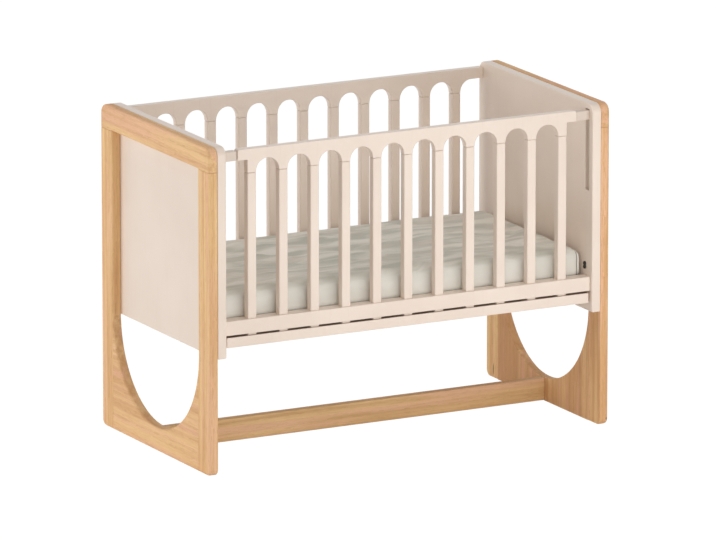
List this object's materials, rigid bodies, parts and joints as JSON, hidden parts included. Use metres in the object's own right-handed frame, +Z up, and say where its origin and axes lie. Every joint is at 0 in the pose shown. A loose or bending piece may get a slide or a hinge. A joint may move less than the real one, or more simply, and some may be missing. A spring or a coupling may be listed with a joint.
{
  "type": "bedside crib",
  "caption": "Bedside crib with arched wooden end frames, painted end panels, a slatted drop side that slides through its rail, a fixed rear side and a mattress.",
  "frame": {"origin": "on the floor, in the middle of the crib's length and width", "axes": "+X along the crib towards its right end, +Y from the drop side to the rear side, +Z up"},
  "size_m": [1, 0.531, 0.737],
  "materials": {
    "oiled_wood": "light oiled hardwood",
    "cream_paint": "cream satin lacquer on wood",
    "base_wood": "plain planed softwood",
    "mattress_cover": "mottled woven cover over foam",
    "black_plastic": "black moulded",
    "screw_steel": "zinc plated"
  },
  "bodies": {
    "frame": {"post_front_left": "oiled_wood", "post_rear_left": "oiled_wood", "post_front_right": "oiled_wood", "post_rear_right": "oiled_wood", "foot_board_left": "oiled_wood", "foot_board_right": "oiled_wood", "top_rail_left": "oiled_wood", "top_rail_right": "oiled_wood", "stretcher": "oiled_wood", "end_panel_left": "cream_paint", "end_panel_right": "cream_paint", "front_rail": "cream_paint", "rear_rail": "cream_paint", "rear_board": "cream_paint", "rear_slat_01": "cream_paint", "rear_slat_02": "cream_paint", "rear_slat_03": "cream_paint", "rear_slat_04": "cream_paint", "rear_slat_05": "cream_paint", "rear_slat_06": "cream_paint", "rear_slat_07": "cream_paint", "rear_slat_08": "cream_paint", "rear_slat_09": "cream_paint", "rear_slat_10": "cream_paint", "rear_slat_11": "cream_paint", "ledger_front": "base_wood", "ledger_rear": "base_wood", "bearer_left": "base_wood", "bearer_right": "base_wood", "base_slat_1": "base_wood", "base_slat_2": "base_wood", "base_slat_3": "base_wood", "base_slat_4": "base_wood", "base_slat_5": "base_wood", "base_slat_6": "base_wood", "base_slat_7": "base_wood", "mattress": "mattress_cover", "bumper_left": "black_plastic", "bumper_right": "black_plastic", "screw_front_rail_left": "screw_steel", "screw_front_rail_right": "screw_steel", "screw_rear_rail_left": "screw_steel", "screw_rear_rail_right": "screw_steel", "screw_rear_board_left": "screw_steel", "screw_rear_board_right": "screw_steel"},
    "drop_side": {"drop_side_board": "cream_paint", "drop_side_guide_left": "cream_paint", "drop_side_guide_right": "cream_paint", "drop_side_slat_01": "cream_paint", "drop_side_slat_02": "cream_paint", "drop_side_slat_03": "cream_paint", "drop_side_slat_04": "cream_paint", "drop_side_slat_05": "cream_paint", "drop_side_slat_06": "cream_paint", "drop_side_slat_07": "cream_paint", "drop_side_slat_08": "cream_paint", "drop_side_slat_09": "cream_paint", "drop_side_slat_10": "cream_paint", "drop_side_slat_11": "cream_paint", "drop_side_tie_bar": "cream_paint"}
  },
  "joints": [
    {"name": "drop_side_slide", "type": "slide", "parent": "frame", "child": "drop_side", "axis": [0, 0, 1], "range_m": [-0.16, 0]}
  ]
}
